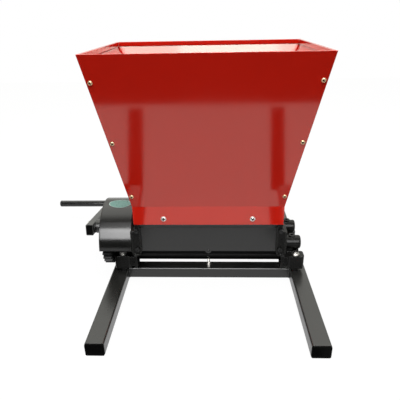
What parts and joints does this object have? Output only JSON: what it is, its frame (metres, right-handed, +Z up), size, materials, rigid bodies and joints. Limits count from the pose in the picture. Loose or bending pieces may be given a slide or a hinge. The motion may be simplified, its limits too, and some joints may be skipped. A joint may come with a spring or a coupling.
{
  "type": "grape crusher",
  "caption": "Hand cranked grape crusher: flared red hopper over geared fluted rollers in a cast body on an H-shaped tube base.",
  "frame": {"origin": "on the floor, under the middle of the whole machine with its crank", "axes": "+X along the rollers to the right, away from the crank; +Y to the back; +Z up"},
  "size_m": [0.7376, 0.666, 0.5633],
  "materials": {
    "black_paint": "semi-gloss black powder coat",
    "frame_paint": "satin black paint on a casting",
    "panel_paint": "satin black paint on sheet",
    "cover_paint": "gloss black paint on sheet",
    "hopper_red": "gloss red powder coat",
    "cap_plastic": "black moulded plastic",
    "grip_plastic": "polished black plastic",
    "roller_plastic": "black moulded plastic",
    "zinc": "bright zinc plate",
    "yellow_zinc": "yellow passivated zinc",
    "dark_steel": "black oxide",
    "bright_steel": "turned and oiled",
    "gear_iron": "cut teeth, oiled",
    "bush_bronze": "plain turned"
  },
  "bodies": {
    "base": {"left_leg": "black_paint", "right_leg": "black_paint", "front_cross_rail": "black_paint", "rear_cross_rail": "black_paint", "left_side_frame": "frame_paint", "right_side_frame": "frame_paint", "foot_standoffs": "frame_paint", "front_panel": "panel_paint", "rear_panel": "panel_paint", "gear_cover_band": "cover_paint", "gear_cover_plate": "cover_paint", "hopper_front": "hopper_red", "hopper_rear": "hopper_red", "hopper_left": "hopper_red", "hopper_right": "hopper_red", "leg_end_caps": "cap_plastic", "bearing_caps": "cap_plastic", "centre_stud": "zinc", "centre_stud_nuts": "zinc", "foot_bolts": "zinc", "foot_washers": "zinc", "foot_nuts": "zinc", "skirt_bolts": "zinc", "skirt_nuts": "zinc", "corner_screws": "yellow_zinc", "corner_nuts": "yellow_zinc", "post_bolts": "dark_steel", "panel_rivets": "dark_steel", "cover_screws": "dark_steel", "bearing_bushes": "bush_bronze"},
    "drive": {"drive_shaft": "bright_steel", "rear_roller": "roller_plastic", "rear_roller_pins": "bright_steel", "drive_gear": "gear_iron", "drive_key": "bright_steel", "drive_spacers": "bright_steel", "crank_hub": "black_paint", "crank_set_screw": "dark_steel", "crank_arm": "black_paint", "crank_arm_caps": "cap_plastic", "crank_screw": "zinc", "crank_washer": "zinc", "grip_spindle": "bright_steel", "grip_button": "grip_plastic"},
    "driven": {"driven_shaft": "bright_steel", "front_roller": "roller_plastic", "front_roller_pins": "bright_steel", "driven_gear": "gear_iron", "driven_key": "bright_steel", "driven_spacer": "bright_steel", "driven_ring": "bright_steel"},
    "grip": {"grip": "grip_plastic"}
  },
  "joints": [
    {"name": "crank_spin", "type": "hinge", "parent": "base", "child": "drive", "pos_m": [0.1228, 0.042, 0.098], "axis": [1, 0, 0], "continuous": true},
    {"name": "roller_spin", "type": "hinge", "parent": "base", "child": "driven", "pos_m": [0.1228, -0.042, 0.098], "axis": [1, 0, 0], "continuous": true},
    {"name": "grip_spin", "type": "hinge", "parent": "drive", "child": "grip", "pos_m": [-0.2845, 0.26719, 0.06233], "axis": [1, 0, 0], "continuous": true}
  ],
  "couplings": [
    {"joint": "roller_spin", "follows": "crank_spin", "ratio": -0.68}
  ]
}
